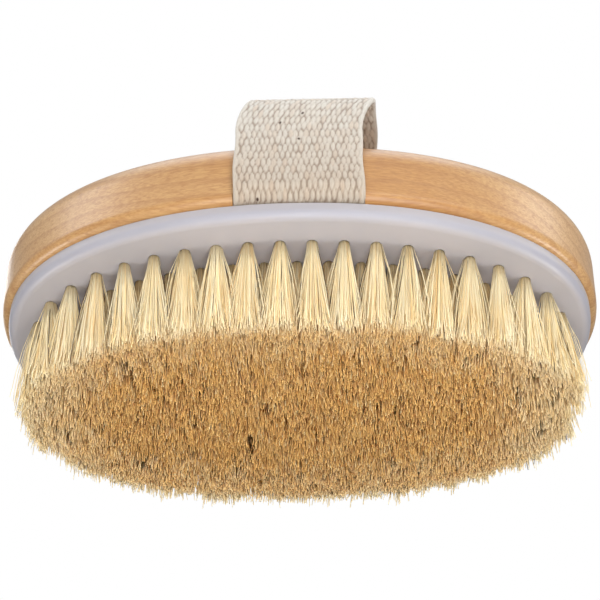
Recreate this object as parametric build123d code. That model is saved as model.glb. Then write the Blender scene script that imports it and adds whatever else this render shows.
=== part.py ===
from build123d import *
import math
import os

# Body dry brush: a palm-sized oval wooden block with a plastic bristle plate glued under it and a
# cotton webbing strap over it for the hand.
# Millimetres. Origin at the middle of the bristle tips, +X along the oval, -Y the front, +Z up.

# Wooden block and the oval that every outline follows
LENGTH = 130.0
WIDTH = 75.0
OVAL_POWER = 2.16  # 2 would be an ellipse; a little more fills the shoulders out
OUTLINE_POINTS = 72
BRISTLE_LENGTH = 24.0  # free length under the plate
PLATE_THICKNESS = 3.8
GLUE_THICKNESS = 0.2
BLOCK_THICKNESS = 22.0
BLOCK_TOP_RADIUS = 10.0
BLOCK_LOWER_RADIUS = 2.0
PLATE_INSET = 1.6  # from the block's widest outline
PLATE_EDGE_RADIUS = 2.0
GLUE_INSET = 4.0

# Webbing strap, stapled into two shallow notches in the block's underside
STRAP_WIDTH = 27.2
STRAP_THICKNESS = 1.5
STRAP_OFFSET = 0.8  # fitted by hand, slightly off the middle
STRAP_CLEARANCE = 0.1
TAIL_END = 22.0  # distance of each tail's end from the middle
FOOT_BEND_RADIUS = 2.6
SHOULDER_Z = 54.0  # where the upright part starts to bend over
SHOULDER_RADIUS = 10.0
SHOULDER_ANGLE = 80.0  # the crown's shallow arc turns the rest
NOTCH_SIDE_GAP = 0.3

# Staples
STAPLE_WIRE = 0.6
STAPLE_CROWN = 9.0
STAPLE_LEG = 6.5
STAPLE_SPACING = 14.0
STAPLE_FROM_MIDDLE = 27.5
STAPLE_STRAP_GAP = 0.3

# Tufts in concentric oval rings, outermost first, round two short rows in the middle
RING_COUNT = 4
OUTER_RING_END_INSET = 7.95
OUTER_RING_SIDE_INSET = 9.9
RING_END_SPACING = 6.4
RING_SIDE_SPACING = 6.1
TUFT_PITCH = 6.8
CORE_ROW_TUFTS = 6
CORE_ROW_Y = 3.1
CORE_END_TUFTS = 2
CORE_END_SHIFT = 3.0  # the middle line's tufts start this far past the rows' last pitch
TUFT_ROOT_RADIUS = 1.15
TUFT_TIP_RADIUS = 2.7
HOLE_RADIUS = 1.2
HOLE_DEPTH = 3.2
ROOT_DEPTH = 3.1
END_GROUP_X = 45.0  # outer tufts past this stand in the end groups

# Flat wire anchors, one across each tuft's folded root
ANCHOR_LENGTH = 2.0
ANCHOR_WIDTH = 0.35
ANCHOR_HEIGHT = 1.2
ANCHOR_GAP = 0.05
ANCHOR_ABOVE_MOUTH = 1.65  # from the plate's underside to the anchor's lower edge

PLATE_TOP_Z = BRISTLE_LENGTH + PLATE_THICKNESS
SEAM_Z = PLATE_TOP_Z + GLUE_THICKNESS
TAIL_Z = SEAM_Z + STRAP_CLEARANCE + STRAP_THICKNESS / 2
LEG_Y = WIDTH / 2 + STRAP_CLEARANCE + STRAP_THICKNESS / 2


def oval_points(half_length, half_width, count, phase=0.0):
    """Points evenly spaced round a superellipse, counted from its front middle in steps of one pitch."""
    samples = 1440
    trace_points = []
    for i in range(samples + 1):
        turn = -math.pi / 2 + 2 * math.pi * i / samples
        x = half_length * math.copysign(abs(math.cos(turn)) ** (2 / OVAL_POWER), math.cos(turn))
        y = half_width * math.copysign(abs(math.sin(turn)) ** (2 / OVAL_POWER), math.sin(turn))
        trace_points.append((x, y))
    travelled = [0.0]
    for start, end in zip(trace_points, trace_points[1:]):
        travelled.append(travelled[-1] + math.dist(start, end))
    points = []
    step = 0
    for k in range(count):
        wanted = (k + phase) / count * travelled[-1]
        while travelled[step + 1] < wanted:
            step += 1
        part = (wanted - travelled[step]) / (travelled[step + 1] - travelled[step])
        (x0, y0), (x1, y1) = trace_points[step], trace_points[step + 1]
        points.append((x0 + part * (x1 - x0), y0 + part * (y1 - y0)))
    return points, travelled[-1]


def oval_slab(inset, low_z, thickness):
    outline, _ = oval_points(LENGTH / 2 - inset, WIDTH / 2 - inset, OUTLINE_POINTS)
    face = make_face(Spline(*outline, periodic=True))
    return Pos(0, 0, low_z) * extrude(face, amount=thickness)


def strap_path():
    """The strap's middle line from the front tail, up, over and down to the rear tail, in (Y, Z)."""
    front_tail = Line((-TAIL_END, TAIL_Z), (-(LEG_Y - FOOT_BEND_RADIUS), TAIL_Z))
    front_foot = JernArc(front_tail @ 1, front_tail % 1, FOOT_BEND_RADIUS, -90)
    front_leg = Line(front_foot @ 1, (-LEG_Y, SHOULDER_Z))
    front_shoulder = JernArc(front_leg @ 1, front_leg % 1, SHOULDER_RADIUS, -SHOULDER_ANGLE)
    crown_half_angle = 90 - SHOULDER_ANGLE
    crown_radius = abs((front_shoulder @ 1).X) / math.sin(math.radians(crown_half_angle))
    crown = JernArc(front_shoulder @ 1, front_shoulder % 1, crown_radius, -2 * crown_half_angle)
    rear = [mirror(piece, about=Plane.YZ) for piece in (front_shoulder, front_leg, front_foot, front_tail)]
    return [front_tail, front_foot, front_leg, front_shoulder, crown] + rear


def strap_band(thickness, width):
    """The strap's side profile at a thickness, drawn in the YZ plane and widened along X."""
    profile = Plane.YZ * trace(strap_path(), line_width=thickness)
    return Pos(STRAP_OFFSET, 0, 0) * extrude(profile, amount=width / 2, both=True)


def staple(x, y):
    """One staple with its crown under the strap's tail and both legs up in the wood."""
    crown_z = SEAM_Z + STRAP_CLEARANCE + STAPLE_WIRE / 2
    crown = Pos(x, y, crown_z) * Box(STAPLE_CROWN, STAPLE_WIRE, STAPLE_WIRE)
    leg_z = SEAM_Z + STRAP_CLEARANCE + STAPLE_LEG / 2
    leg_x = STAPLE_CROWN / 2 - STAPLE_WIRE / 2
    left_leg = Pos(x - leg_x, y, leg_z) * Box(STAPLE_WIRE, STAPLE_WIRE, STAPLE_LEG)
    right_leg = Pos(x + leg_x, y, leg_z) * Box(STAPLE_WIRE, STAPLE_WIRE, STAPLE_LEG)
    return (crown + left_leg + right_leg).solid()


def staple_room(x, y):
    """The space one staple takes up in the strap, with a gap all round."""
    width = STAPLE_CROWN + 2 * STAPLE_STRAP_GAP
    depth = STAPLE_WIRE + 2 * STAPLE_STRAP_GAP
    crown_top = SEAM_Z + STRAP_CLEARANCE + STAPLE_WIRE + STAPLE_STRAP_GAP
    crown = Pos(x, y, (SEAM_Z + crown_top) / 2) * Box(width, depth, crown_top - SEAM_Z)
    leg_x = STAPLE_CROWN / 2 - STAPLE_WIRE / 2
    leg_z = SEAM_Z + STAPLE_LEG / 2
    leg_rooms = [Pos(x + side * leg_x, y, leg_z) * Box(depth, depth, STAPLE_LEG) for side in (-1, 1)]
    return [crown] + leg_rooms


def staple_places(side):
    """Centres of one tail's staples; side is -1 at the front and +1 at the rear."""
    return [(STRAP_OFFSET + half * STAPLE_SPACING / 2, side * STAPLE_FROM_MIDDLE) for half in (-1, 1)]


def tuft():
    """One tuft at the origin: folded root with a slot for its anchor, and bristles that spread to the tips."""
    bristles = Pos(0, 0, BRISTLE_LENGTH / 2) * Cone(TUFT_TIP_RADIUS, TUFT_ROOT_RADIUS, BRISTLE_LENGTH)
    root = Pos(0, 0, BRISTLE_LENGTH + ROOT_DEPTH / 2) * Cylinder(TUFT_ROOT_RADIUS, ROOT_DEPTH)
    slot_z = BRISTLE_LENGTH + ANCHOR_ABOVE_MOUTH + ANCHOR_HEIGHT / 2
    slot_width = ANCHOR_WIDTH + 2 * ANCHOR_GAP
    slot_height = ANCHOR_HEIGHT + 2 * ANCHOR_GAP
    slot = Pos(0, 0, slot_z) * Box(3 * TUFT_ROOT_RADIUS, slot_width, slot_height)
    return (bristles + root - slot).solid()


def anchor():
    """One flat wire anchor at the origin, across the tuft's root."""
    z = BRISTLE_LENGTH + ANCHOR_ABOVE_MOUTH + ANCHOR_HEIGHT / 2
    return (Pos(0, 0, z) * Box(ANCHOR_LENGTH, ANCHOR_WIDTH, ANCHOR_HEIGHT)).solid()


def ring_places(ring):
    """Tuft centres of one ring; every second ring is shifted by half a pitch, so the tufts stagger."""
    half_length = LENGTH / 2 - OUTER_RING_END_INSET - ring * RING_END_SPACING
    half_width = WIDTH / 2 - OUTER_RING_SIDE_INSET - ring * RING_SIDE_SPACING
    _, perimeter = oval_points(half_length, half_width, 1)
    count = round(perimeter / TUFT_PITCH)
    places, _ = oval_points(half_length, half_width, count, phase=0.5 if ring % 2 == 0 else 0.0)
    return places


def core_places():
    """Tuft centres of the middle: two short rows, and a line of tufts on past each end of them."""
    places = []
    for k in range(CORE_ROW_TUFTS):
        x = (k - (CORE_ROW_TUFTS - 1) / 2) * TUFT_PITCH
        places += [(x, -CORE_ROW_Y), (x, CORE_ROW_Y)]
    for k in range(CORE_END_TUFTS):
        x = (CORE_ROW_TUFTS / 2 + k) * TUFT_PITCH + CORE_END_SHIFT
        places += [(-x, 0), (x, 0)]
    return places


def placed(shape, places):
    """Copies of a shape at each place, each turned so that its X follows the oval round the middle."""
    copies = []
    for x, y in places:
        heading = math.degrees(math.atan2(y / WIDTH**2, x / LENGTH**2)) + 90
        copies.append(Pos(x, y, 0) * Rot(0, 0, heading) * shape)
    return copies


def outer_group(x, y):
    """The name of the group that an outermost tuft belongs to."""
    if abs(x) > END_GROUP_X:
        return "outer_tufts_right_end" if x > 0 else "outer_tufts_left_end"
    return "outer_tufts_front" if y < 0 else "outer_tufts_rear"


def save(name, solids):
    shape = solids[0] if len(solids) == 1 else Compound(solids)
    export_step(shape, f"parts/{name}.step")


os.makedirs("parts", exist_ok=True)

staples = {side: [staple(x, y) for x, y in staple_places(side)] for side in (-1, 1)}
fields = {f"ring_{ring + 1}": ring_places(ring) for ring in range(RING_COUNT)}
fields["core"] = core_places()

wood = oval_slab(0, SEAM_Z, BLOCK_THICKNESS)
wood = fillet(wood.edges().group_by(Axis.Z)[-1], BLOCK_TOP_RADIUS)
wood = fillet(wood.edges().group_by(Axis.Z)[0], BLOCK_LOWER_RADIUS)
wood -= strap_band(STRAP_THICKNESS + 2 * STRAP_CLEARANCE, STRAP_WIDTH + 2 * NOTCH_SIDE_GAP)
for side in (-1, 1):
    wood -= staples[side]
save("wood_block", [wood.solid()])

plate = oval_slab(PLATE_INSET, BRISTLE_LENGTH, PLATE_THICKNESS)
plate = fillet(plate.edges().group_by(Axis.Z)[0], PLATE_EDGE_RADIUS)
hole = Pos(0, 0, BRISTLE_LENGTH + HOLE_DEPTH / 2) * Cylinder(HOLE_RADIUS, HOLE_DEPTH)
plate -= [Pos(x, y, 0) * hole for places in fields.values() for x, y in places]
save("bristle_plate", [plate.solid()])

glue = oval_slab(GLUE_INSET, PLATE_TOP_Z, GLUE_THICKNESS)
tail_room = Box(STRAP_WIDTH + 2 * NOTCH_SIDE_GAP, WIDTH / 2, SEAM_Z)
for side in (-1, 1):
    glue -= Pos(STRAP_OFFSET, side * (TAIL_END + WIDTH / 4 - NOTCH_SIDE_GAP), SEAM_Z) * tail_room
save("plate_glue", [glue.solid()])

strap = strap_band(STRAP_THICKNESS, STRAP_WIDTH)
for side in (-1, 1):
    for x, y in staple_places(side):
        strap -= staple_room(x, y)
save("hand_strap", [strap.solid()])
save("strap_staples_front", staples[-1])
save("strap_staples_rear", staples[1])

one_tuft = tuft()
one_anchor = anchor()
groups = {}
for field, places in fields.items():
    for x, y in places:
        group = outer_group(x, y) if field == "ring_1" else f"tufts_{field}"
        groups.setdefault(group, []).append((x, y))
    save(f"tuft_anchors_{field}", placed(one_anchor, places))
for group, places in groups.items():
    save(group, placed(one_tuft, places))
print("tufts in each field", {field: len(places) for field, places in fields.items()})
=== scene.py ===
import functools
import math
import random

import bmesh
import bpy
from bpy.props import FloatProperty, FloatVectorProperty, IntProperty, PointerProperty
from mathutils import Matrix, Vector
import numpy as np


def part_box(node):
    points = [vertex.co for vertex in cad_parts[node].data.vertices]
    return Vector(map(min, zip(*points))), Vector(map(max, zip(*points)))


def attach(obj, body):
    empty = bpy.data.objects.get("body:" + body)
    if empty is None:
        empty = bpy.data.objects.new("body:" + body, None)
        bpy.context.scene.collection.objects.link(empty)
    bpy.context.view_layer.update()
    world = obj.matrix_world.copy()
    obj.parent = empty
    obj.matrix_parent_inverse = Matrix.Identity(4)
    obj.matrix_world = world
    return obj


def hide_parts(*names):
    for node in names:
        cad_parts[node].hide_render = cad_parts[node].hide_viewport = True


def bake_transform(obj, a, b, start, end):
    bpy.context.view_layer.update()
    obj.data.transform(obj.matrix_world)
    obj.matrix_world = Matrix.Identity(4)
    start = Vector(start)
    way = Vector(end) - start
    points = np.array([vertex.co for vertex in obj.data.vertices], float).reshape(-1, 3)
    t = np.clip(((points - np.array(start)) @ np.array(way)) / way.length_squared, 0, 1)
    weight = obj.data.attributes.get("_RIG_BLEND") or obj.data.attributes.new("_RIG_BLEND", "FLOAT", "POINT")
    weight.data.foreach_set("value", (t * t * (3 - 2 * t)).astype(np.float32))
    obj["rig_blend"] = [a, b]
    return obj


bl_info = {
    "name": "Body Dry Brush",
    "version": (1, 0, 0),
    "blender": (4, 5, 0),
    "location": "3D View > Sidebar > Dry Brush",
    "description": "Builds an oval body brush's webbing strap, bristles and finishes on its CAD frame",
    "category": "Object",
}

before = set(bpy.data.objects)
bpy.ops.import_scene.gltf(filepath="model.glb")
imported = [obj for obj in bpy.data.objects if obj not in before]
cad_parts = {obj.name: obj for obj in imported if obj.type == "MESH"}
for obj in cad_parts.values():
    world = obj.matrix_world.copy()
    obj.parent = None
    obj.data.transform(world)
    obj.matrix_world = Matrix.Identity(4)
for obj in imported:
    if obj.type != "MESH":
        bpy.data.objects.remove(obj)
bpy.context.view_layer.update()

MM = 0.001
GOLDEN_ANGLE = 2.399963
PLATE_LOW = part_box("bristle_plate")[0]
STRAP_LOW, STRAP_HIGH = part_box("hand_strap")

# The strap's line, as the frame has it: flat tails under the block, a tight foot, an upright leg,
# a shoulder and a shallow crown, the same at the front and the rear.
STRAP_WIDTH = STRAP_HIGH.x - STRAP_LOW.x
STRAP_MIDDLE = (STRAP_HIGH.x + STRAP_LOW.x) / 2
STRAP_THICKNESS = 1.5 * MM
TAIL_END = 22.0 * MM
FOOT_RADIUS = 2.6 * MM
SHOULDER_Z = 54.0 * MM
SHOULDER_RADIUS = 10.0 * MM
SHOULDER_TURN = math.radians(80)
LEG_Y = STRAP_HIGH.y - STRAP_THICKNESS / 2
TAIL_Z = STRAP_LOW.z + STRAP_THICKNESS / 2

# Tufts, their nodes from the outside inwards
OUTER_NODES = ("outer_tufts_front", "outer_tufts_rear", "outer_tufts_left_end", "outer_tufts_right_end")
INNER_NODES = ("tufts_ring_2", "tufts_ring_3", "tufts_ring_4", "tufts_core")
ANCHOR_NODES = ("tuft_anchors_ring_1", "tuft_anchors_ring_2", "tuft_anchors_ring_3",
                "tuft_anchors_ring_4", "tuft_anchors_core")
STAPLE_NODES = ("strap_staples_front", "strap_staples_rear")


def tint(name, text, colour):
    """A colour property."""
    return FloatVectorProperty(name=name, description=text, subtype="COLOR", size=3, min=0, max=1,
                               default=colour)


def length(name, text, value):
    """A length property in metres."""
    return FloatProperty(name=name, description=text, unit="LENGTH", default=value, precision=5)


def power(name, text, value):
    """A lamp's power property in watts."""
    return FloatProperty(name=name, description=text, unit="POWER", default=value)


class DryBrushWood(bpy.types.PropertyGroup):
    pale: tint("Pale wood", "Colour of the early wood", (0.62, 0.40, 0.185))
    honey: tint("Honey wood", "Colour of the warmer patches", (0.50, 0.262, 0.082))
    ring: tint("Growth line", "Colour of the late wood's thin lines", (0.36, 0.165, 0.055))
    ring_spacing: length("Ring spacing", "Distance between growth lines", 4.6 * MM)
    fibre: length("Fibre width", "Width of the fine fibres along the block", 0.35 * MM)


class DryBrushPlate(bpy.types.PropertyGroup):
    milky: tint("Milky plastic", "Colour of the bristle plate", (0.485, 0.457, 0.472))
    cloudy: tint("Cloudy plastic", "Colour of its faintly darker clouds", (0.445, 0.425, 0.445))
    # Painted shade: the rim colour darkens the plate's rounded lower corner and tints it bluer.
    rim: tint("Rim", "Colour of the rounded edge, where the plastic is bluer", (0.385, 0.38, 0.43))
    glue: tint("Glue", "Colour of the glue film", (0.66, 0.56, 0.40))


class DryBrushStrap(bpy.types.PropertyGroup):
    yarn: tint("Yarn", "Colour of the raised yarns", (0.70, 0.685, 0.645))
    # The warm colour also tints the painted shade towards the strap's foot.
    warm: tint("Warm yarn", "Colour of the yarns that are a little darker", (0.68, 0.60, 0.52))
    # Painted shade: the gap colour darkens the weave wherever its relief is low, between the floats.
    gap: tint("Gap", "Colour between the yarns", (0.38, 0.32, 0.27))
    float_pitch: length("Float pitch", "Distance between floats across the strap", 1.12 * MM)
    row_pitch: length("Row pitch", "Distance between rows of floats along the strap", 2.25 * MM)
    relief: length("Relief", "Depth of the gaps between floats", 0.36 * MM)
    lean: length("Lean", "How far the crown leans to the right", 3.5 * MM)


class DryBrushBristles(bpy.types.PropertyGroup):
    outer_hairs: IntProperty(name="Outer hairs", description="Hairs in an outermost tuft",
                             default=430, min=20)
    inner_hairs: IntProperty(name="Inner hairs", description="Hairs in any other tuft",
                             default=270, min=20)
    root_width: length("Root width", "Width of a hair at its root", 0.21 * MM)
    tip_width: length("Tip width", "Width of a hair at its tip", 0.18 * MM)
    outer_tip: length("Outer tip radius", "Radius of an outermost tuft at its tips", 3.0 * MM)
    inner_tip: length("Inner tip radius", "Radius of any other tuft at its tips", 3.8 * MM)
    cream: tint("Cream", "Colour of the palest hairs", (0.98, 0.885, 0.635))
    straw: tint("Straw", "Colour of the yellower hairs", (0.97, 0.80, 0.46))
    # Amber is both the colour of a few darker hairs and the painted shade at the roots.
    amber: tint("Amber", "Colour of the root ends and the darker hairs", (0.98, 0.74, 0.40))
    # Painted shade: the two tip colours below stand in for the shade among the hair tips.
    golden: tint("Golden", "Colour of the tips", (0.88, 0.55, 0.18))
    brown: tint("Brown", "Colour of the darker tips", (0.60, 0.32, 0.105))


class DryBrushStage(bpy.types.PropertyGroup):
    lens: FloatProperty(name="Lens", description="Focal length in millimetres", default=158.5)
    distance: length("Distance", "From the camera to the point it looks at", 0.58324)
    azimuth: FloatProperty(name="Azimuth", description="Camera's turn to the right",
                           unit="ROTATION", default=math.radians(1.49))
    elevation: FloatProperty(name="Elevation", description="Camera's height, negative below",
                             unit="ROTATION", default=math.radians(-45.76))
    front: power("Front light", "Power of the light in front", 0.86)
    low: power("Low light", "Power of the light below the front", 0.41)
    ends: power("End lights", "Power of the low lights at the brush's two ends", 0.19)
    left: power("Left light", "Power of the high light on the left", 0.95)
    right: power("Right light", "Power of the high light on the right", 0.95)
    top: power("Top light", "Power of the light overhead", 3.0)
    back: power("Back light", "Power of the light behind", 2.2)
    room: FloatProperty(name="Room light", description="Strength of the light from all round",
                        default=0.44)
    ground: FloatProperty(name="Ground light", description="Strength of the light from below",
                          default=0.17)


class Finish:
    """A material with one Principled shader, and short calls that add nodes to it."""

    def __init__(self, name, **shader):
        self.material = bpy.data.materials.new(name)
        self.material.use_nodes = True
        self.tree = self.material.node_tree
        self.tree.nodes.clear()
        self.shader = self.add("ShaderNodeBsdfPrincipled", **shader)
        self.output = self.add("ShaderNodeOutputMaterial", Surface=self.shader.outputs["BSDF"])

    def put(self, node, sockets):
        for key, value in sockets.items():
            socket = node.inputs[int(key[1:])] if key[1:].isdigit() else node.inputs[key.replace("_", " ")]
            if isinstance(value, bpy.types.NodeSocket):
                self.tree.links.new(value, socket)
            else:
                socket.default_value = value
        return node

    def add(self, kind, settings=None, **sockets):
        node = self.tree.nodes.new(kind)
        for key, value in (settings or {}).items():
            setattr(node, key, value)
        return self.put(node, sockets)

    def place(self, scale, rotation=(0, 0, 0), location=(0, 0, 0), uv=None):
        """Object coordinates, or a UV map's, through a Mapping node."""
        if uv:
            source = self.add("ShaderNodeUVMap", {"uv_map": uv}).outputs["UV"]
        else:
            source = self.add("ShaderNodeTexCoord").outputs["Object"]
        mapping = self.add("ShaderNodeMapping", Vector=source, Scale=scale, Rotation=rotation,
                           Location=location)
        return mapping.outputs["Vector"]

    def axis(self, name):
        """How far a point lies along one of the object's axes."""
        return self.add("ShaderNodeSeparateXYZ", Vector=self.place((1, 1, 1))).outputs[name]

    def noise(self, vector, detail=2.0, roughness=0.5):
        node = self.add("ShaderNodeTexNoise", Vector=vector, Scale=1.0, Detail=detail,
                        Roughness=roughness)
        return node.outputs["Fac"]

    def steps(self, factor, *stops):
        """A colour ramp; a stop is (place, colour or grey)."""
        node = self.add("ShaderNodeValToRGB", Fac=factor)
        ramp = node.color_ramp
        while len(ramp.elements) < len(stops):
            ramp.elements.new(0.5)
        for element, (spot, colour) in zip(ramp.elements, stops):
            element.position = spot
            element.color = (*colour, 1) if hasattr(colour, "__len__") else (colour, colour, colour, 1)
        return node.outputs["Color"]

    def blend(self, factor, low, high, how="MIX"):
        node = self.add("ShaderNodeMix", {"data_type": "RGBA", "blend_type": how})
        values = {"_0": factor, "_6": low, "_7": high}
        for key, value in values.items():
            if not isinstance(value, bpy.types.NodeSocket) and key != "_0" and len(value) == 3:
                values[key] = (*value, 1)
        self.put(node, values)
        return node.outputs[2]

    def sum(self, first, second, how="ADD"):
        return self.add("ShaderNodeMath", {"operation": how}, _0=first, _1=second).outputs[0]

    def span(self, value, low, high, new_low, new_high):
        node = self.add("ShaderNodeMapRange", _0=value, _1=low, _2=high, _3=new_low, _4=new_high)
        return node.outputs[0]

    def attribute(self, name):
        return self.add("ShaderNodeAttribute", {"attribute_name": name}).outputs["Fac"]

    def bump(self, height, strength, distance):
        node = self.add("ShaderNodeBump", Height=height, Strength=strength, Distance=distance)
        self.put(self.shader, {"Normal": node.outputs["Normal"]})

    def surface(self, **sockets):
        self.put(self.shader, sockets)
        return self.material


def finish_node(name, material):
    """Gives a CAD node its finish."""
    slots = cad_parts[name].data.materials
    slots.clear()
    slots.append(material)


def new_piece(name, bm, material):
    """A finished mesh as an object at the origin, smooth and with its finish."""
    for face in bm.faces:
        face.smooth = True
    mesh = bpy.data.meshes.new(name)
    bm.to_mesh(mesh)
    bm.free()
    mesh.materials.append(material)
    piece = bpy.data.objects.new(name, mesh)
    bpy.context.scene.collection.objects.link(piece)
    return piece


def wood_finish(look):
    """Satin pale wood, warmer in the middle: growth lines round an axis a little off the block's
    length, fibres, flecks and clouds."""
    wood = Finish("satin_pale_wood", Coat_Weight=0.5, Coat_Roughness=0.30)
    tilt = (0.0, math.radians(-4), math.radians(7))
    grain = wood.place((1, 1, 1), tilt, (0.0, 26 * MM, -12 * MM))
    wobble = wood.add("ShaderNodeTexNoise", Vector=wood.place((14, 60, 60)), Scale=1.0, Detail=2.0)
    shift = wood.add("ShaderNodeVectorMath", {"operation": "MULTIPLY_ADD"}, _0=wobble.outputs["Color"],
                     _1=(0.0, 7 * MM, 7 * MM), _2=grain)
    round_x = {"wave_type": "RINGS", "rings_direction": "X", "wave_profile": "SAW"}
    rings = wood.add("ShaderNodeTexWave", round_x, Vector=shift.outputs[0],
                     Scale=math.pi / 10 / look.ring_spacing, Distortion=0.6, Detail=2.0, Detail_Scale=2.0)
    clouds = wood.noise(wood.place((16, 34, 34), tilt), 3.0, 0.55)
    from_middle = wood.sum(wood.axis("X"), 0.0, "ABSOLUTE")
    middle = wood.span(from_middle, 25 * MM, 58 * MM, 0.45, -0.1)
    warm = wood.sum(wood.span(clouds, 0.36, 0.66, 0.0, 0.7), middle)
    body = wood.blend(wood.span(warm, 0.0, 1.0, 0.0, 1.0), look.pale, look.honey)
    line = wood.steps(rings.outputs["Fac"], (0.0, 0.0), (0.62, 0.10), (0.90, 0.55), (1.0, 0.0))
    lined = wood.blend(wood.sum(line, 0.8, "MULTIPLY"), body, look.ring)
    fibre_size = 1 / look.fibre
    fibres = wood.noise(wood.place((fibre_size * 0.03, fibre_size, fibre_size), tilt), 3.0, 0.6)
    streaked = wood.blend(wood.span(fibres, 0.34, 0.68, 0.0, 0.44), lined, look.honey, "MULTIPLY")
    flecks = wood.noise(wood.place((520, 1500, 1500), tilt))
    fleck = wood.span(flecks, 0.54, 0.68, 0.0, 0.55)
    colour = wood.blend(fleck, streaked, look.ring)
    rough = wood.span(fibres, 0.3, 0.7, 0.40, 0.52)
    height = wood.sum(fibres, wood.sum(fleck, -0.8, "MULTIPLY"))
    wood.bump(height, 0.22, 0.06 * MM)
    return wood.surface(Base_Color=colour, Roughness=rough)


def plate_finish(look):
    """Milky moulded plastic with faint clouds, a fine matt texture, a soft glow and painted shade on its
    rounded lower corner.
    """
    plate = Finish("milky_plastic", Subsurface_Weight=0.35, Subsurface_Scale=1.6 * MM, IOR=1.49)
    plate.surface(Subsurface_Radius=(1.0, 0.9, 0.8))
    clouds = plate.noise(plate.place((45, 70, 45)), 3.0)
    colour = plate.blend(plate.span(clouds, 0.35, 0.68, 0.0, 1.0), look.milky, look.cloudy)
    height = plate.axis("Z")
    # Painted shade: the rounded lower corner gets the darker, bluer rim colour, and the side above about
    # half.
    low_part = plate.span(height, PLATE_LOW.z + 0.01 * MM, PLATE_LOW.z + 0.7 * MM, 0.0, 1.0)
    high_part = plate.span(height, PLATE_LOW.z + 1.3 * MM, PLATE_LOW.z + 2.4 * MM, 1.0, 0.45)
    edge = plate.sum(low_part, high_part, "MULTIPLY")
    colour = plate.blend(edge, colour, look.rim)
    fine = plate.noise(plate.place((2600, 2600, 2600)))
    flow = plate.noise(plate.place((60, 240, 120), (0, 0, 0.3)))
    plate.bump(plate.sum(fine, plate.sum(flow, 2.0, "MULTIPLY")), 0.10, 0.04 * MM)
    return plate.surface(Base_Color=colour, Roughness=plate.span(flow, 0.3, 0.7, 0.36, 0.50))


def glue_finish(look):
    """A hard amber-clear film with small ripples."""
    glue = Finish("hard_glue", Specular_IOR_Level=0.6)
    ripple = glue.noise(glue.place((500, 500, 500)), 3.0)
    glue.bump(ripple, 0.4, 0.08 * MM)
    thin = tuple(0.7 * part for part in look.glue)
    colour = glue.blend(glue.span(ripple, 0.35, 0.65, 0.0, 1.0), look.glue, thin)
    return glue.surface(Base_Color=colour, Roughness=glue.span(ripple, 0.3, 0.7, 0.16, 0.34))


def steel_finish(name, bright, dull):
    """Drawn wire with fine scratches along its length and a few dull patches."""
    steel = Finish(name, Metallic=1.0)
    scratches = steel.noise(steel.place((400, 9000, 9000)))
    patches = steel.noise(steel.place((700, 700, 700)), 3.0)
    steel.bump(scratches, 0.3, 0.01 * MM)
    colour = steel.blend(steel.span(patches, 0.4, 0.7, 0.0, 1.0), bright, dull)
    return steel.surface(Base_Color=colour, Roughness=steel.span(scratches, 0.3, 0.7, 0.25, 0.45))


def webbing_finish(look):
    """Undyed cotton webbing: pale raised yarns with painted shade in the gaps between them and towards the
    strap's foot, twisted fibres and a few dark specks.
    """
    cloth = Finish("cotton_webbing", Sheen_Weight=0.25, Sheen_Roughness=0.5, Specular_IOR_Level=0.2)
    relief = cloth.attribute("relief")
    yarns = cloth.attribute("yarn")
    tone = cloth.blend(cloth.span(yarns, 0.55, 1.0, 0.0, 0.75), look.yarn, look.warm)
    across = cloth.noise(cloth.place((4200, 900, 1), uv="weave"), 3.0, 0.6)
    slubs = cloth.noise(cloth.place((90, 35, 1), uv="weave"))
    tone = cloth.blend(cloth.span(across, 0.3, 0.75, 0.0, 0.5), tone, look.warm, "MULTIPLY")
    tone = cloth.blend(cloth.span(slubs, 0.4, 0.7, 0.0, 0.3), tone, look.warm)
    # Painted shade: where the weave's relief is low, between and round the floats, the colour darkens to
    # gap.
    shade = cloth.span(relief, 0.10, 0.72, 0.0, 1.0)
    colour = cloth.blend(shade, look.gap, tone)
    specks = cloth.add("ShaderNodeTexVoronoi", {"voronoi_dimensions": "2D"},
                       Vector=cloth.place((230, 170, 1), uv="weave"), Scale=1.0)
    near = cloth.span(specks.outputs["Distance"], 0.04, 0.085, 1.0, 0.0)
    chance = cloth.add("ShaderNodeSeparateColor", Color=specks.outputs["Color"]).outputs["Red"]
    few = cloth.span(chance, 0.10, 0.13, 1.0, 0.0)
    # Painted shade: the strap grows darker and warmer downwards, from none at 58 mm to most at 28 mm.
    painted_low_shade = cloth.span(cloth.axis("Z"), 28 * MM, 58 * MM, 0.85, 0.0)
    colour = cloth.blend(painted_low_shade, colour, look.warm, "MULTIPLY")
    speck_brown = (0.06, 0.03, 0.02)
    colour = cloth.blend(cloth.sum(near, few, "MULTIPLY"), colour, speck_brown)
    twist = cloth.add("ShaderNodeTexWave", {"wave_type": "BANDS", "bands_direction": "DIAGONAL"},
                      Vector=cloth.place((1, 0.75, 1), uv="weave"), Scale=170.0, Distortion=2.5, Detail=1.0)
    height = cloth.sum(across, cloth.sum(twist.outputs["Fac"], 0.5, "MULTIPLY"))
    cloth.bump(height, 0.55, 0.07 * MM)
    return cloth.surface(Base_Color=colour, Roughness=cloth.span(across, 0.3, 0.7, 0.82, 0.95))


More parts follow.
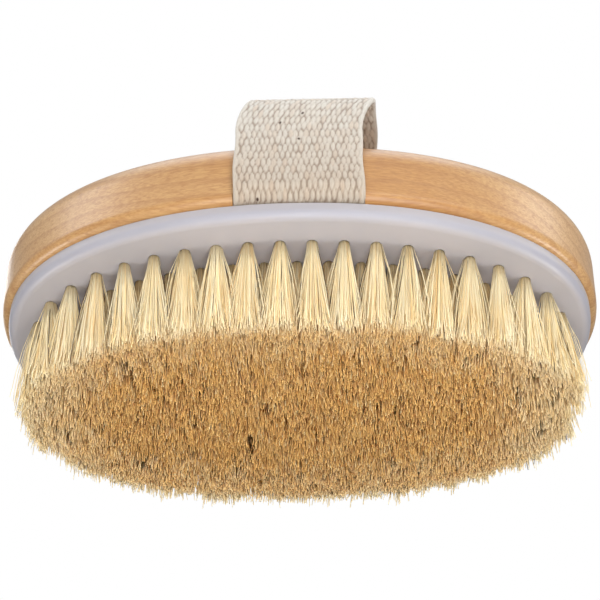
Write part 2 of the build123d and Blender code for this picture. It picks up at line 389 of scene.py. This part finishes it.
def bristle_finish(name, look, depth):
    """Natural bristle: cream and straw hairs, with painted shade that turns them amber towards their roots
    and golden to brown at the tips, most on tips facing into a tuft and less at the brush's two ends.
    depth goes from 0 for the outermost tufts to 1 for those in the middle, and tufts further in get
    more painted shade."""
    hair = Finish(name, Specular_IOR_Level=0.30 - 0.12 * depth)
    tone = hair.attribute("tone")
    along = hair.attribute("along")
    dark = (0.07, 0.035, 0.018)
    kinds = hair.steps(tone, (0.0, dark), (0.010, dark), (0.016, look.amber),
                       (0.08 + 0.18 * depth, look.straw), (0.45 + 0.30 * depth, look.cream),
                       (1.0, look.cream))
    # Painted shade: hairs turn amber towards their roots, more strongly and along more of their length in
    # tufts further in.
    root = hair.span(along, 0.04, 0.18 + 0.30 * depth, 0.30 + 0.30 * depth, 0.0)
    colour = hair.blend(root, kinds, look.amber)
    # Painted shade: the tip shade is strongest on hairs facing into a tuft or in its middle, and in tufts
    # further in.
    uneven = hair.sum(hair.attribute("core"), hair.span(tone, 0.0, 1.0, -0.18, 0.18))
    # Painted light: the tip shade eases to 40 % towards the brush's two ends, from 38 to 60 mm out.
    tip_shade_eased = hair.span(hair.sum(hair.axis("X"), 0.0, "ABSOLUTE"), 38 * MM, 60 * MM, 1.0, 0.40)
    inside = hair.span(uneven, 0.08, 0.60, 0.04 + 0.88 * depth, 0.78 + 0.17 * depth)
    inside = hair.sum(inside, tip_shade_eased, "MULTIPLY")
    # Painted shade: each hair's last part turns brown, gold or straw as the mask says, from further up in
    # tufts further in.
    tip = hair.sum(hair.span(along, 0.88 - 0.20 * depth, 0.98, 0.0, 1.0), inside, "MULTIPLY")
    own = hair.sum(hair.sum(tone, 7.13, "MULTIPLY"), 0.0, "FRACT")
    ends = hair.steps(own, (0.0, look.brown), (0.16, look.brown), (0.50, look.golden),
                      (0.86, look.golden), (1.0, look.straw))
    colour = hair.blend(tip, colour, ends)
    patches = hair.noise(hair.place((150, 150, 60)))
    colour = hair.blend(hair.span(patches, 0.35, 0.7, 0.0, 0.35), colour, look.straw, "MULTIPLY")
    scales = hair.noise(hair.place((2200, 2200, 1500)))
    hair.bump(scales, 0.2, 0.02 * MM)
    return hair.surface(Base_Color=colour, Roughness=hair.span(scales, 0.3, 0.7, 0.34, 0.52))


def strap_runs():
    """The strap's line from the front tail to the rear one, as (length, turn) of each run."""
    tail = LEG_Y - FOOT_RADIUS - TAIL_END
    leg = SHOULDER_Z - TAIL_Z - FOOT_RADIUS
    crown_turn = math.pi / 2 - SHOULDER_TURN
    crown_half = LEG_Y - SHOULDER_RADIUS * (1 - math.cos(SHOULDER_TURN))
    crown_length = 2 * crown_turn * crown_half / math.sin(crown_turn)
    half = [(tail, 0.0), (FOOT_RADIUS * math.pi / 2, math.pi / 2), (leg, 0.0),
            (SHOULDER_RADIUS * SHOULDER_TURN, SHOULDER_TURN)]
    return half + [(crown_length, 2 * crown_turn)] + half[::-1]


def strap_point(runs, distance):
    """The (Y, Z) at a distance along the strap's line, and the direction out of the loop there."""
    y, z, heading = -TAIL_END, TAIL_Z, math.pi
    for run, turn in runs:
        step = min(distance, run)
        if turn:
            bend = turn / run
            after = heading - bend * step
            y += (math.sin(heading) - math.sin(after)) / bend
            z += (math.cos(after) - math.cos(heading)) / bend
            heading = after
        else:
            y += step * math.cos(heading)
            z += step * math.sin(heading)
        distance -= step
        if distance <= 0:
            break
    return y, z, -math.sin(heading), math.cos(heading)


def smooth_step(value, low, high):
    part = min(max((value - low) / (high - low), 0.0), 1.0)
    return part * part * (3 - 2 * part)


@functools.cache
def float_shape(row, column):
    """One float's own differences: shifts across and along, width, length, height and tone."""
    own = random.Random(row * 7919 + column * 104729)
    return (own.gauss(0, 0.05) * MM, own.gauss(0, 0.16) * MM, own.uniform(0.43, 0.52),
            own.uniform(0.66, 0.80), own.uniform(0.80, 1.0), own.random())


def float_height(u, s, look):
    """Height of the weave's floats, from 0 to 1, at (u, s) on the strap, and that float's own number."""
    best, number = 0.0, 0.5
    middle_row = round(s / look.row_pitch)
    for row in (middle_row - 1, middle_row, middle_row + 1):
        offset = 0.5 * look.float_pitch if row % 2 else 0.0
        middle = round((u - offset) / look.float_pitch)
        for column in (middle - 1, middle, middle + 1):
            shift_u, shift_s, width, reach, tall, tone = float_shape(row, column)
            down = abs(s - row * look.row_pitch - shift_s) / (reach * look.row_pitch)
            taper = 1 - down * down
            if taper <= 0.02:
                continue
            from_line = abs(u - column * look.float_pitch - offset - shift_u)
            across = from_line / (width * look.float_pitch * taper)
            if across < 1:
                height = math.sqrt(1 - across * across) * tall * (0.35 + 0.65 * taper)
                if height > best:
                    best, number = height, tone
    return best, number


class DRYBRUSH_OT_wood_block(bpy.types.Operator):
    """Give the wooden block its satin wood finish"""
    bl_idname = "drybrush.wood_block"
    bl_label = "Wooden Block"

    def execute(self, context):
        finish_node("wood_block", wood_finish(context.scene.dry_brush_wood))
        return {"FINISHED"}


class DRYBRUSH_OT_bristle_plate(bpy.types.Operator):
    """Give the bristle plate and the glue under the block their finishes"""
    bl_idname = "drybrush.bristle_plate"
    bl_label = "Bristle Plate"

    def execute(self, context):
        look = context.scene.dry_brush_plate
        finish_node("bristle_plate", plate_finish(look))
        finish_node("plate_glue", glue_finish(look))
        return {"FINISHED"}


class DRYBRUSH_OT_wire_parts(bpy.types.Operator):
    """Give the strap's staples and the tufts' wire anchors their finishes"""
    bl_idname = "drybrush.wire_parts"
    bl_label = "Staples and Anchors"

    def execute(self, context):
        staple = steel_finish("galvanised_staple", (0.62, 0.63, 0.65), (0.42, 0.43, 0.44))
        wire = steel_finish("drawn_anchor_wire", (0.70, 0.64, 0.52), (0.46, 0.40, 0.31))
        for name in STAPLE_NODES:
            finish_node(name, staple)
        for name in ANCHOR_NODES:
            finish_node(name, wire)
        return {"FINISHED"}


class DRYBRUSH_OT_hand_strap(bpy.types.Operator):
    """Weave the webbing hand strap along its line over the block"""
    bl_idname = "drybrush.hand_strap"
    bl_label = "Hand Strap"

    columns = 118
    fine_step = 0.365 * MM
    coarse_step = 1.6 * MM
    selvedge = 0.85 * MM
    staple_from_middle = 27.5 * MM
    staple_groove = 0.75 * MM
    staple_half_length = 5.0 * MM
    staple_spacing = 14.0 * MM
    lean_low = 47.0 * MM
    lean_high = 66.0 * MM
    foot_spread = 0.020
    spread_low = 31.0 * MM
    spread_high = 44.0 * MM
    hidden_tail = 13.0 * MM
    staple_margin = 1.6 * MM
    groove_floor = 0.5 * MM
    groove_edge = 0.95 * MM
    groove_end = 5.6 * MM
    edge_height = 0.80
    edge_wander = 0.14 * MM
    wander_rate = 410

    def rows_along(self, total):
        """Places of the cross rows along the strap, wider apart on the hidden tails, except at staples."""
        staple = self.staple_from_middle - TAIL_END
        places = [0.0]
        while places[-1] < total / 2:
            here = places[-1]
            fine = here > self.hidden_tail or abs(here - staple) < self.staple_margin
            places.append(here + (self.fine_step if fine else self.coarse_step))
        half = [p for p in places if p < total / 2 - self.fine_step / 2]
        return half + [total / 2] + [total - p for p in reversed(half)]

    def execute(self, context):
        look = context.scene.dry_brush_strap
        runs = strap_runs()
        total = sum(run for run, turn in runs)
        along = self.rows_along(total)
        bm = bmesh.new()
        relief = bm.verts.layers.float.new("relief")
        yarn = bm.verts.layers.float.new("yarn")
        place_u = bm.verts.layers.float.new("place_u")
        row = bm.verts.layers.int.new("row")
        bmesh.ops.create_grid(bm, x_segments=self.columns, y_segments=len(along) - 1, size=0.5)
        for vert in bm.verts:
            vert[place_u] = vert.co.x * STRAP_WIDTH
            vert[row] = round((vert.co.y + 0.5) * (len(along) - 1))
        outer = set(bm.verts)
        bmesh.ops.extrude_face_region(bm, geom=bm.verts[:] + bm.edges[:] + bm.faces[:], use_keep_orig=True)
        points = [strap_point(runs, s) for s in along]
        for vert in bm.verts:
            s, point = along[vert[row]], points[vert[row]]
            self.shape(vert, vert[place_u], s, point, vert in outer, total, look, relief, yarn)
        bmesh.ops.recalc_face_normals(bm, faces=bm.faces)
        weave = bm.loops.layers.uv.new("weave")
        for face in bm.faces:
            for loop in face.loops:
                loop[weave].uv = (loop.vert[place_u], along[loop.vert[row]])
        bm.verts.layers.float.remove(bm.verts.layers.float["place_u"])
        bm.verts.layers.int.remove(bm.verts.layers.int["row"])
        strap = new_piece("hand_strap_webbing", bm, webbing_finish(look))
        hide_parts("hand_strap")
        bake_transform(strap, "brush", "strap", start=(0, 0, 0.034), end=(0, 0, 0.058))
        return {"FINISHED"}

    def shape(self, vert, u, s, point, outside, total, look, relief, yarn):
        """Moves one vertex from the flat strap to its place on the bent and woven one."""
        y, z, out_y, out_z = point
        to_edge = STRAP_WIDTH / 2 - abs(u)
        woven = smooth_step(to_edge, 0.5 * self.selvedge, 1.1 * self.selvedge)
        lane = 0.0 if outside else 0.5 * look.row_pitch
        height, number = float_height(u, s - total / 2 + lane, look)
        height = self.edge_height + (height - self.edge_height) * woven
        half = STRAP_THICKNESS / 2 - look.relief * (1 - height)
        thin = 1 - 0.45 * (1 - smooth_step(to_edge, 0.0, 0.5 * self.selvedge))
        half *= thin
        if outside:
            half -= self.groove(u, s, total)
        offset = half if outside else -half
        spread = 1 + self.foot_spread * (1 - smooth_step(z, self.spread_low, self.spread_high))
        x = STRAP_MIDDLE + u * spread + look.lean * smooth_step(z, self.lean_low, self.lean_high)
        wander = self.edge_wander * math.sin(s * self.wander_rate + 1.3) * abs(u) / STRAP_WIDTH * 2
        vert.co = (x + wander, y + out_y * offset, z + out_z * offset)
        vert[relief] = height
        vert[yarn] = number * woven

    def groove(self, u, s, total):
        """How far a staple's crown presses into the tail at (u, s)."""
        from_end = min(s, total - s)
        from_staple = abs(from_end - (self.staple_from_middle - TAIL_END))
        near = 1 - smooth_step(from_staple, self.groove_floor, self.groove_edge)
        beside = min(abs(u - half * self.staple_spacing / 2) for half in (-1, 1))
        within = 1 - smooth_step(beside, self.staple_half_length, self.groove_end)
        return self.staple_groove * near * within


class DRYBRUSH_OT_bristles(bpy.types.Operator):
    """Fill every tuft of the frame with tapered hairs, trimmed to one plane at the tips"""
    bl_idname = "drybrush.bristles"
    bl_label = "Bristles"

    root_radius = 1.02 * MM
    root_depth = 1.1 * MM
    side_lean = 3.0 * MM
    end_lean = 0.6 * MM
    seed = 41
    clumps = 15
    variants = 8
    sides = 3
    tip_crowding = 1.6
    top_margin = 0.05 * MM
    tuft_gap = 2.8 * MM
    # Segments of a hair, share of stray hairs, pull into clumps, and in millimetres how unevenly the
    # clumps end and how far a hair's tip bends fore and aft
    outer_kind = {"segments": 4, "strays": 0.10, "clumping": 0.35, "uneven": 0.2, "curling": 0.38}
    inner_kind = {"segments": 3, "strays": 0.05, "clumping": 0.34, "uneven": 0.45, "curling": 1.0}
    widening = {"outer_tufts_front": 1.06, "outer_tufts_rear": 1.28,
                "outer_tufts_left_end": 1.15, "outer_tufts_right_end": 1.15}

    def execute(self, context):
        look = context.scene.dry_brush_bristles
        self.root_z = PLATE_LOW.z + self.root_depth
        chance = random.Random(self.seed)
        outer = [self.tuft(look, chance, look.outer_hairs, look.outer_tip, **self.outer_kind)
                 for _ in range(self.variants)]
        inner = [self.tuft(look, chance, look.inner_hairs, look.inner_tip, **self.inner_kind)
                 for _ in range(self.variants)]
        # Three copies of one bristle finish with more and more painted shade, for tufts further and further
        # in.
        pale = bristle_finish("bristle_least_painted_shade", look, 0.0)
        half_shaded_bristle = bristle_finish("bristle_half_painted_shade", look, 0.6)
        most_shaded_bristle = bristle_finish("bristle_most_painted_shade", look, 1.0)
        places = {name: self.tuft_places(name) for name in OUTER_NODES + INNER_NODES}
        every = [place for name in OUTER_NODES for place in places[name]]
        self.reach = (max(x for x, y in every), max(y for x, y in every))
        for name in OUTER_NODES:
            self.piece(name, places[name], outer, pale, chance)
        for name in INNER_NODES:
            self.piece(name, places[name], inner, half_shaded_bristle if name == "tufts_ring_2" else most_shaded_bristle, chance)
        for mesh in outer + inner:
            bpy.data.meshes.remove(mesh)
        return {"FINISHED"}

    def tuft_places(self, name):
        """Middles of a node's tufts, from the flat tops of their roots."""
        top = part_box(name)[1].z
        groups = []
        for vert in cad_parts[name].data.vertices:
            if vert.co.z < top - self.top_margin:
                continue
            for group in groups:
                if (group[0] - vert.co).length < self.tuft_gap:
                    group.append(vert.co.copy())
                    break
            else:
                groups.append([vert.co.copy()])
        middles = []
        for group in groups:
            xs = [co.x for co in group]
            ys = [co.y for co in group]
            middles.append(((min(xs) + max(xs)) / 2, (min(ys) + max(ys)) / 2))
        return middles

    def hair(self, segments):
        """One straight three-sided hair of unit size, its root at z = 0 and its tip at z = 1, with its
        rings closer together towards the tip."""
        bm = bmesh.new()
        bm.verts.layers.float.new("tone")
        bm.verts.layers.float.new("core")
        along = bm.verts.layers.float.new("along")
        bmesh.ops.create_cone(bm, cap_ends=True, segments=self.sides, radius1=1, radius2=1, depth=1)
        upright = [e for e in bm.edges if abs(e.verts[0].co.z - e.verts[1].co.z) > 0.5]
        bmesh.ops.subdivide_edges(bm, edges=upright, cuts=segments - 1, use_grid_fill=True)
        bmesh.ops.translate(bm, verts=bm.verts, vec=(0, 0, 0.5))
        bmesh.ops.recalc_face_normals(bm, faces=bm.faces)
        for vert in bm.verts:
            vert.co.z = 1 - (1 - vert.co.z) ** self.tip_crowding
            vert[along] = vert.co.z
        mesh = bpy.data.meshes.new("hair")
        bm.to_mesh(mesh)
        bm.free()
        return mesh

    def tuft(self, look, chance, hairs, tip_radius, segments, strays, clumping, uneven, curling):
        """A tuft of many hairs that leave a round hole together and spread towards their tips."""
        unit = self.hair(segments)
        count = len(unit.vertices)
        bm = bmesh.new()
        for _ in range(hairs):
            bm.from_mesh(unit)
        bm.verts.ensure_lookup_table()
        tone = bm.verts.layers.float["tone"]
        core = bm.verts.layers.float["core"]
        centres = []
        for k in range(self.clumps):
            centre_reach = tip_radius * math.sqrt((k + 0.5) / self.clumps)
            centre_turn = k * GOLDEN_ANGLE + chance.gauss(0, 0.3)
            centre = Vector((math.cos(centre_turn), math.sin(centre_turn), 0)) * centre_reach
            drift = Vector((chance.gauss(0, 0.45), chance.gauss(0, 0.35), abs(chance.gauss(0, uneven))))
            centres.append((centre, drift * MM))
        for k in range(hairs):
            share = math.sqrt((k + 0.5) / hairs)
            angle = k * GOLDEN_ANGLE + chance.gauss(0, 0.05)
            root = Vector((math.cos(angle), math.sin(angle), 0)) * (self.root_radius * share)
            root *= chance.uniform(0.88, 1.05)
            turned = angle + chance.gauss(0, 0.10)
            reach = tip_radius * share * chance.gauss(1.0, 0.10)
            tip = Vector((math.cos(turned), math.sin(turned), 0)) * reach
            nearest, drift = min(centres, key=lambda clump: (clump[0] - tip).length)
            tip = tip.lerp(nearest, chance.uniform(0.05, clumping))
            tip += Vector((chance.gauss(0, 0.20), chance.gauss(0, 0.20), 0)) * MM
            bow = Vector((chance.gauss(0, 0.16), chance.gauss(0, 0.16), 0)) * MM
            curl = Vector((chance.gauss(0, 0.38), chance.gauss(0, curling), 0)) * MM
            tip += Vector((drift.x, drift.y, 0))
            tip.z = drift.z + min(abs(chance.gauss(0.0, 0.6)), 2.4) * MM
            if chance.random() < 0.16:
                tip.z += chance.uniform(0.5, 3.5) * MM
            if chance.random() < strays:
                away = Vector((math.cos(turned), math.sin(turned), 0))
                tip += away * (chance.uniform(0.4, 2.6) * MM)
                bow += away * (chance.gauss(0.1, 0.55) * MM)
            root.z = self.root_z
            thick = chance.uniform(0.78, 1.2)
            shade = chance.random()
            spin = Matrix.Rotation(chance.uniform(0, math.tau), 3, "Z")
            for vert in bm.verts[k * count:(k + 1) * count]:
                t = vert.co.z
                ring = spin @ Vector((vert.co.x, vert.co.y, 0))
                width = look.root_width + (look.tip_width - look.root_width) * t
                line = root.lerp(tip, t) + bow * (4 * t * (1 - t)) + curl * t ** 5
                vert.co = line + ring * (width / 2 * thick)
                vert[tone] = shade
                vert[core] = 1 - share
        mesh = bpy.data.meshes.new("tuft")
        bm.to_mesh(mesh)
        bm.free()
        bpy.data.meshes.remove(unit)
        return mesh

    def lean(self, x, y):
        """How far a tuft's tips lean in from its hole, as (X, Y): the outermost tufts lean the most."""
        share = (x / self.reach[0]) ** 2 + (y / self.reach[1]) ** 2
        out = Vector((x / self.reach[0] ** 2, y / self.reach[1] ** 2))
        if out.length == 0:
            return Vector((0, 0))
        out.normalize()
        amount = self.end_lean + (self.side_lean - self.end_lean) * out.y ** 4
        return -out * (amount * min(share, 1.0))

    def fan_out(self, mesh, x, y, widening):
        """Widens a tuft's tips along the ring that it stands in, and leaves its root as it is."""
        along_ring = Vector((-y / self.reach[1] ** 2, x / self.reach[0] ** 2, 0)).normalized()
        for vert in mesh.vertices:
            share = 1 - vert.co.z / self.root_z
            vert.co += along_ring * (vert.co.dot(along_ring) * (widening - 1) * share)

    def face_out(self, mesh, x, y, centre, radius):
        """Marks each hair of an outer tuft by its side: 0 at the ring's outside, 1 at its inside, where the
        bristle finish paints the most shade on the tips.
        """
        out = Vector((x / self.reach[0] ** 2, y / self.reach[1] ** 2)).normalized()
        core = mesh.attributes["core"].data
        verts = mesh.vertices
        count = self.sides * (self.outer_kind["segments"] + 1)
        for first in range(0, len(verts), count):
            hair = range(first, first + count)
            tip = verts[min(hair, key=lambda i: verts[i].co.z)].co
            outward = (tip.xy - centre).dot(out) / radius
            side = min(max(0.5 - 0.5 * outward, 0.0), 1.0)
            for i in hair:
                core[i].value = side

    def piece(self, node, places, variants, material, chance):
        """All hairs of one node's tufts as one piece."""
        look = bpy.context.scene.dry_brush_bristles
        widening = self.widening.get(node, 1.0)
        bm = bmesh.new()
        for x, y in places:
            mesh = chance.choice(variants).copy()
            lean = self.lean(x, y) + Vector((chance.gauss(0, 0.6), chance.gauss(0, 0.35))) * MM
            slant = Matrix.Identity(4)
            slant[0][2] = -lean.x / self.root_z
            slant[1][2] = -lean.y / self.root_z
            place = Matrix.Translation((x + lean.x, y + lean.y, 0))
            widen = Matrix.Diagonal((chance.uniform(0.94, 1.06), chance.uniform(0.94, 1.06), 1, 1))
            turn = chance.uniform(0, math.tau)
            if node in INNER_NODES:
                turn = math.pi * round(turn / math.tau) + chance.gauss(0, 0.2)
            mesh.transform(widen @ Matrix.Rotation(turn, 4, "Z"))
            if widening != 1:
                self.fan_out(mesh, x, y, widening)
            mesh.transform(place @ slant)
            if node in OUTER_NODES:
                self.face_out(mesh, x, y, place.translation.xy, look.outer_tip)
            bm.from_mesh(mesh)
            bpy.data.meshes.remove(mesh)
        bristles = new_piece(node + "_hairs", bm, material)
        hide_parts(node)
        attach(bristles, "brush")


class DRYBRUSH_OT_stage(bpy.types.Operator):
    """Set up the floor, the soft lights, the white room and the camera"""
    bl_idname = "drybrush.stage"
    bl_label = "Stage"

    floor_radius = 6.0
    warm_white = (1.0, 0.985, 0.96)
    white = (1.0, 0.995, 0.985)
    light_bounces = 16
    matt_bounces = 12
    aim = Vector((0.116 * MM, 0.0, 35.53 * MM))

    def execute(self, context):
        look = context.scene.dry_brush_stage
        context.scene.view_settings.view_transform = "Standard"
        context.scene.cycles.max_bounces = self.light_bounces
        context.scene.cycles.diffuse_bounces = self.matt_bounces
        self.floor()
        self.light("front_light", look.front, 0.34, self.around(20, 21, 0.56), self.warm_white)
        self.light("low_light", look.low, 0.19, self.around(5, -35, 0.215), self.warm_white)
        self.light("left_low_light", look.ends, 0.08, self.around(-78, -36, 0.25), self.warm_white)
        self.light("right_low_light", look.ends, 0.08, self.around(80, -36, 0.25), self.warm_white)
        self.light("left_light", look.left, 0.28, self.around(-62, 46, 0.85), (0.98, 0.99, 1.0))
        self.light("right_light", look.right, 0.34, self.around(76, 44, 0.85), (1.0, 0.99, 0.97))
        self.light("top_light", look.top, 0.80, self.around(0, 84, 1.0), self.white)
        self.light("back_light", look.back, 0.50, self.around(205, 34, 0.85), self.white)
        self.room(context.scene, look)
        self.camera(context.scene, look)
        return {"FINISHED"}

    def around(self, azimuth, elevation, distance):
        """A place round the brush, as the camera's azimuth and elevation say it, in degrees."""
        a, e = math.radians(azimuth), math.radians(elevation)
        direction = Vector((math.sin(a) * math.cos(e), -math.cos(a) * math.cos(e), math.sin(e)))
        return self.aim + direction * distance

    def light(self, name, watts, size, place, colour):
        lamp = bpy.data.lights.new(name, "AREA")
        lamp.shape = "DISK"
        lamp.size = size
        lamp.energy = watts
        lamp.color = colour
        holder = bpy.data.objects.new(name, lamp)
        holder.location = place
        holder.rotation_mode = "QUATERNION"
        holder.rotation_quaternion = (self.aim - place).to_track_quat("-Z", "Y")
        holder.visible_camera = False
        bpy.context.scene.collection.objects.link(holder)

    def floor(self):
        """A pale floor under the tips. It is clear from below and lets the lights through, and far out
        it glows a little, so that its horizon stays pale."""
        bm = bmesh.new()
        bmesh.ops.create_circle(bm, cap_ends=True, segments=96, radius=self.floor_radius)
        pale = Finish("pale_floor", Roughness=0.9, Specular_IOR_Level=0.0)
        mottle = pale.noise(pale.place((9, 9, 9)))
        colour = pale.blend(mottle, (0.94, 0.94, 0.94), (0.91, 0.91, 0.91))
        distance = pale.add("ShaderNodeVectorMath", {"operation": "LENGTH"}, _0=pale.place((1, 1, 1)))
        far_light = pale.span(distance.outputs["Value"], 0.15, 0.9, 0.0, 0.55)
        pale.surface(Base_Color=colour, Emission_Color=(1, 1, 1, 1), Emission_Strength=far_light)
        side = pale.add("ShaderNodeNewGeometry").outputs["Backfacing"]
        clear = pale.add("ShaderNodeBsdfTransparent").outputs["BSDF"]
        both = pale.add("ShaderNodeMixShader", _0=side, _1=pale.shader.outputs["BSDF"], _2=clear)
        pale.put(pale.output, {"Surface": both.outputs[0]})
        floor = new_piece("floor", bm, pale.material)
        floor.visible_shadow = False
        floor.visible_diffuse = False
        floor.visible_glossy = False
        floor.visible_transmission = False

    def room(self, scene, look):
        """White to the camera, softer as light and softest from below."""
        world = bpy.data.worlds.new("white_room")
        world.use_nodes = True
        scene.world = world
        tree = world.node_tree
        tree.nodes.clear()
        seen = tree.nodes.new("ShaderNodeBackground")
        seen.inputs["Color"].default_value = (1, 1, 1, 1)
        lit = tree.nodes.new("ShaderNodeBackground")
        lit.inputs["Color"].default_value = (1.0, 0.99, 0.98, 1)
        direction = tree.nodes.new("ShaderNodeTexCoord")
        height = tree.nodes.new("ShaderNodeSeparateXYZ")
        strength = tree.nodes.new("ShaderNodeMapRange")
        for socket, value in zip(strength.inputs[1:5], (-0.5, 0.15, look.ground, look.room)):
            socket.default_value = value
        tree.links.new(direction.outputs["Generated"], height.inputs[0])
        tree.links.new(height.outputs["Z"], strength.inputs[0])
        tree.links.new(strength.outputs[0], lit.inputs["Strength"])
        path = tree.nodes.new("ShaderNodeLightPath")
        mix = tree.nodes.new("ShaderNodeMixShader")
        out = tree.nodes.new("ShaderNodeOutputWorld")
        tree.links.new(path.outputs["Is Camera Ray"], mix.inputs[0])
        tree.links.new(lit.outputs[0], mix.inputs[1])
        tree.links.new(seen.outputs[0], mix.inputs[2])
        tree.links.new(mix.outputs[0], out.inputs["Surface"])

    def camera(self, scene, look):
        data = bpy.data.cameras.new("camera")
        data.lens = look.lens
        data.sensor_width = 36.0
        camera = bpy.data.objects.new("camera", data)
        place = self.around(math.degrees(look.azimuth), math.degrees(look.elevation), look.distance)
        camera.location = place
        camera.rotation_mode = "QUATERNION"
        camera.rotation_quaternion = (self.aim - place).to_track_quat("-Z", "Y")
        scene.collection.objects.link(camera)
        scene.camera = camera


class DRYBRUSH_PT_panel(bpy.types.Panel):
    """Buttons and settings of the dry brush"""
    bl_idname = "DRYBRUSH_PT_panel"
    bl_label = "Dry Brush"
    bl_space_type = "VIEW_3D"
    bl_region_type = "UI"
    bl_category = "Dry Brush"

    def draw(self, context):
        for operator, settings in STEPS:
            box = self.layout.box()
            box.operator(operator.bl_idname)
            if settings:
                group = getattr(context.scene, settings)
                for key in group.bl_rna.properties.keys():
                    if key not in ("rna_type", "name"):
                        box.prop(group, key)


STEPS = (
    (DRYBRUSH_OT_stage, "dry_brush_stage"),
    (DRYBRUSH_OT_wood_block, "dry_brush_wood"),
    (DRYBRUSH_OT_bristle_plate, "dry_brush_plate"),
    (DRYBRUSH_OT_wire_parts, None),
    (DRYBRUSH_OT_hand_strap, "dry_brush_strap"),
    (DRYBRUSH_OT_bristles, "dry_brush_bristles"),
)
GROUPS = {
    "dry_brush_stage": DryBrushStage,
    "dry_brush_wood": DryBrushWood,
    "dry_brush_plate": DryBrushPlate,
    "dry_brush_strap": DryBrushStrap,
    "dry_brush_bristles": DryBrushBristles,
}


def register():
    for key, group in GROUPS.items():
        bpy.utils.register_class(group)
        setattr(bpy.types.Scene, key, PointerProperty(type=group))
    for operator, settings in STEPS:
        bpy.utils.register_class(operator)
    bpy.utils.register_class(DRYBRUSH_PT_panel)


def unregister():
    bpy.utils.unregister_class(DRYBRUSH_PT_panel)
    for operator, settings in reversed(STEPS):
        bpy.utils.unregister_class(operator)
    for key, group in GROUPS.items():
        delattr(bpy.types.Scene, key)
        bpy.utils.unregister_class(group)


def main():
    register()
    for operator, settings in STEPS:
        group, name = operator.bl_idname.split(".")
        getattr(getattr(bpy.ops, group), name)()


if __name__ == "__main__":
    main()
